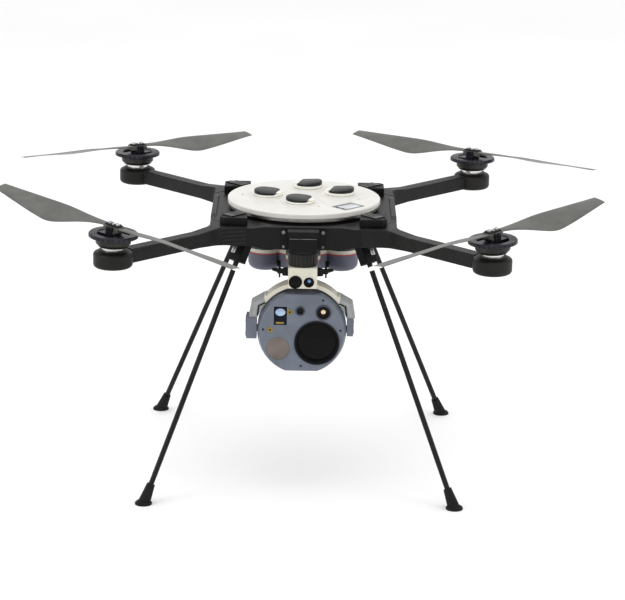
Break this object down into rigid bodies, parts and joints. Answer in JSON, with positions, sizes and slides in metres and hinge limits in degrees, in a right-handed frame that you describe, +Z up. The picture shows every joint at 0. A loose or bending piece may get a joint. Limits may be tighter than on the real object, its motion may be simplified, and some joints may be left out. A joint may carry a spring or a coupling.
{
  "type": "quadcopter drone",
  "caption": "Folding-arm quadcopter with teetering two-blade propellers, a white battery deck, splayed tube legs and a ball camera hung in a pan and tilt gimbal.",
  "frame": {"origin": "on the ground under the middle of the body, level with the foot pads", "axes": "+Z up, the camera faces -Y, +X to the right of someone facing the camera"},
  "size_m": [1.0301, 0.9508, 0.4947],
  "materials": {
    "carbon": "satin woven carbon fibre in resin",
    "black_plastic": "moulded black nylon",
    "motor_black": "black anodised aluminium",
    "bright_metal": "turned bright",
    "ring_metal": "violet-grey anodised",
    "blade_composite": "satin composite",
    "rubber": "matt black",
    "white_shell": "satin white",
    "knob_grey": "satin grey with dark grip",
    "cream_shell": "satin cream",
    "red_seal": "matt red silicone",
    "blue_grey": "satin blue-grey paint",
    "cell_black": "shrink-wrapped black",
    "board_green": "lacquered board",
    "display_glass": "dark pane",
    "pan_grey": "satin anodised",
    "lens_glass": "coated optical glass",
    "bezel_metal": "black anodised"
  },
  "bodies": {
    "root": {"frame": "carbon", "top_deck": "white_shell", "deck_band": "bright_metal", "corner_caps": "black_plastic", "leg_brackets": "black_plastic", "battery_bay": "cream_shell", "gasket": "red_seal", "circuit_board": "board_green", "display_window": "display_glass", "payload_mount": "black_plastic", "pan_motor": "pan_grey"},
    "battery_pack": {"battery_cup": "blue_grey", "batteries": "cell_black"},
    "gimbal_pan": {"gimbal_yoke": "cream_shell", "tilt_drives": "blue_grey", "pilot_lenses": "lens_glass"},
    "camera": {"camera_ball": "blue_grey", "lens_bezels": "bezel_metal", "camera_glass": "lens_glass", "camera_core": "cell_black"},
    "arm_fl": {"arm_fl": "carbon", "motor_pod_fl": "motor_black", "stator_fl": "bright_metal"},
    "rotor_fl": {"rotor_bell_fl": "motor_black", "prop_ring_fl": "ring_metal"},
    "prop_fl": {"propeller_fl": "blade_composite"},
    "latch_fl": {"latch_lever_fl": "black_plastic"},
    "leg_fl": {"leg_fl": "carbon", "foot_fl": "rubber"},
    "arm_fr": {"arm_fr": "carbon", "motor_pod_fr": "motor_black", "stator_fr": "bright_metal"},
    "rotor_fr": {"rotor_bell_fr": "motor_black", "prop_ring_fr": "ring_metal"},
    "prop_fr": {"propeller_fr": "blade_composite"},
    "latch_fr": {"latch_lever_fr": "black_plastic"},
    "leg_fr": {"leg_fr": "carbon", "foot_fr": "rubber"},
    "arm_bl": {"arm_bl": "carbon", "motor_pod_bl": "motor_black", "stator_bl": "bright_metal"},
    "rotor_bl": {"rotor_bell_bl": "motor_black", "prop_ring_bl": "ring_metal"},
    "prop_bl": {"propeller_bl": "blade_composite"},
    "latch_bl": {"latch_lever_bl": "black_plastic"},
    "leg_bl": {"leg_bl": "carbon", "foot_bl": "rubber"},
    "arm_br": {"arm_br": "carbon", "motor_pod_br": "motor_black", "stator_br": "bright_metal"},
    "rotor_br": {"rotor_bell_br": "motor_black", "prop_ring_br": "ring_metal"},
    "prop_br": {"propeller_br": "blade_composite"},
    "latch_br": {"latch_lever_br": "black_plastic"},
    "leg_br": {"leg_br": "carbon", "foot_br": "rubber"},
    "knob_left": {"knob_left": "knob_grey"},
    "knob_right": {"knob_right": "knob_grey"},
    "knob_front": {"knob_front": "knob_grey"},
    "knob_back": {"knob_back": "knob_grey"}
  },
  "joints": [
    {"name": "arm_fold_fl", "type": "hinge", "parent": "root", "child": "arm_fl", "pos_m": [-0.1185, -0.1185, 0.397], "axis": [0.7071, -0.7071, 0], "range_deg": [0, 62]},
    {"name": "rotor_spin_fl", "type": "hinge", "parent": "arm_fl", "child": "rotor_fl", "pos_m": [-0.2885, -0.2885, 0.4245], "axis": [0.037, -0.037, 0.9986], "continuous": true},
    {"name": "prop_teeter_fl", "type": "hinge", "parent": "rotor_fl", "child": "prop_fl", "pos_m": [-0.28724, -0.28976, 0.45845], "axis": [0.6103, 0.7922, 0.0067], "range_deg": [-7, 0]},
    {"name": "latch_lift_fl", "type": "hinge", "parent": "root", "child": "latch_fl", "pos_m": [-0.11878, -0.11878, 0.435], "axis": [0.7071, -0.7071, 0], "range_deg": [0, 70]},
    {"name": "leg_pull_fl", "type": "slide", "parent": "root", "child": "leg_fl", "axis": [-0.339, -0.339, -0.8776], "range_m": [0, 0.03]},
    {"name": "arm_fold_fr", "type": "hinge", "parent": "root", "child": "arm_fr", "pos_m": [0.1185, -0.1185, 0.397], "axis": [0.7071, 0.7071, 0], "range_deg": [0, 62]},
    {"name": "rotor_spin_fr", "type": "hinge", "parent": "arm_fr", "child": "rotor_fr", "pos_m": [0.2885, -0.2885, 0.4245], "axis": [-0.037, -0.037, 0.9986], "continuous": true},
    {"name": "prop_teeter_fr", "type": "hinge", "parent": "rotor_fr", "child": "prop_fr", "pos_m": [0.28724, -0.28976, 0.45845], "axis": [-0.6731, 0.7396, 0.0025], "range_deg": [-2.6, 4.4]},
    {"name": "latch_lift_fr", "type": "hinge", "parent": "root", "child": "latch_fr", "pos_m": [0.11878, -0.11878, 0.435], "axis": [0.7071, 0.7071, 0], "range_deg": [0, 70]},
    {"name": "leg_pull_fr", "type": "slide", "parent": "root", "child": "leg_fr", "axis": [0.339, -0.339, -0.8776], "range_m": [0, 0.03]},
    {"name": "arm_fold_bl", "type": "hinge", "parent": "root", "child": "arm_bl", "pos_m": [-0.1185, 0.1185, 0.397], "axis": [-0.7071, -0.7071, 0], "range_deg": [0, 62]},
    {"name": "rotor_spin_bl", "type": "hinge", "parent": "arm_bl", "child": "rotor_bl", "pos_m": [-0.2885, 0.2885, 0.4245], "axis": [0, 0, 1], "continuous": true},
    {"name": "prop_teeter_bl", "type": "hinge", "parent": "rotor_bl", "child": "prop_bl", "pos_m": [-0.2885, 0.2885, 0.4585], "axis": [-0.6293, 0.7771, 0], "range_deg": [-5.2, 1.8]},
    {"name": "latch_lift_bl", "type": "hinge", "parent": "root", "child": "latch_bl", "pos_m": [-0.11878, 0.11878, 0.435], "axis": [-0.7071, -0.7071, 0], "range_deg": [0, 70]},
    {"name": "leg_pull_bl", "type": "slide", "parent": "root", "child": "leg_bl", "axis": [-0.339, 0.339, -0.8776], "range_m": [0, 0.03]},
    {"name": "arm_fold_br", "type": "hinge", "parent": "root", "child": "arm_br", "pos_m": [0.1185, 0.1185, 0.397], "axis": [-0.7071, 0.7071, 0], "range_deg": [0, 62]},
    {"name": "rotor_spin_br", "type": "hinge", "parent": "arm_br", "child": "rotor_br", "pos_m": [0.2885, 0.2885, 0.4245], "axis": [0, 0, 1], "continuous": true},
    {"name": "prop_teeter_br", "type": "hinge", "parent": "rotor_br", "child": "prop_br", "pos_m": [0.2885, 0.2885, 0.4585], "axis": [0.5534, 0.8329, 0], "range_deg": [-4, 3]},
    {"name": "latch_lift_br", "type": "hinge", "parent": "root", "child": "latch_br", "pos_m": [0.11878, 0.11878, 0.435], "axis": [-0.7071, 0.7071, 0], "range_deg": [0, 70]},
    {"name": "leg_pull_br", "type": "slide", "parent": "root", "child": "leg_br", "axis": [0.339, 0.339, -0.8776], "range_m": [0, 0.03]},
    {"name": "knob_turn_left", "type": "hinge", "parent": "root", "child": "knob_left", "pos_m": [-0.058, 0.008, 0.4437], "axis": [0, 0, 1], "range_deg": [0, 90]},
    {"name": "knob_turn_right", "type": "hinge", "parent": "root", "child": "knob_right", "pos_m": [0.058, 0.022, 0.4437], "axis": [0, 0, 1], "range_deg": [0, 90]},
    {"name": "knob_turn_front", "type": "hinge", "parent": "root", "child": "knob_front", "pos_m": [-0.006, -0.039, 0.4437], "axis": [0, 0, 1], "range_deg": [0, 90]},
    {"name": "knob_turn_back", "type": "hinge", "parent": "root", "child": "knob_back", "pos_m": [0.006, 0.069, 0.4437], "axis": [0, 0, 1], "range_deg": [0, 90]},
    {"name": "battery_drop", "type": "slide", "parent": "root", "child": "battery_pack", "axis": [0, 0, -1], "range_m": [0, 0.1]},
    {"name": "gimbal_turn", "type": "hinge", "parent": "root", "child": "gimbal_pan", "pos_m": [0, -0.142, 0.368], "axis": [0, 0, 1], "range_deg": [-170, 170]},
    {"name": "camera_tilt", "type": "hinge", "parent": "gimbal_pan", "child": "camera", "pos_m": [0, -0.142, 0.2624], "axis": [1, 0, 0], "range_deg": [-30, 105]}
  ]
}
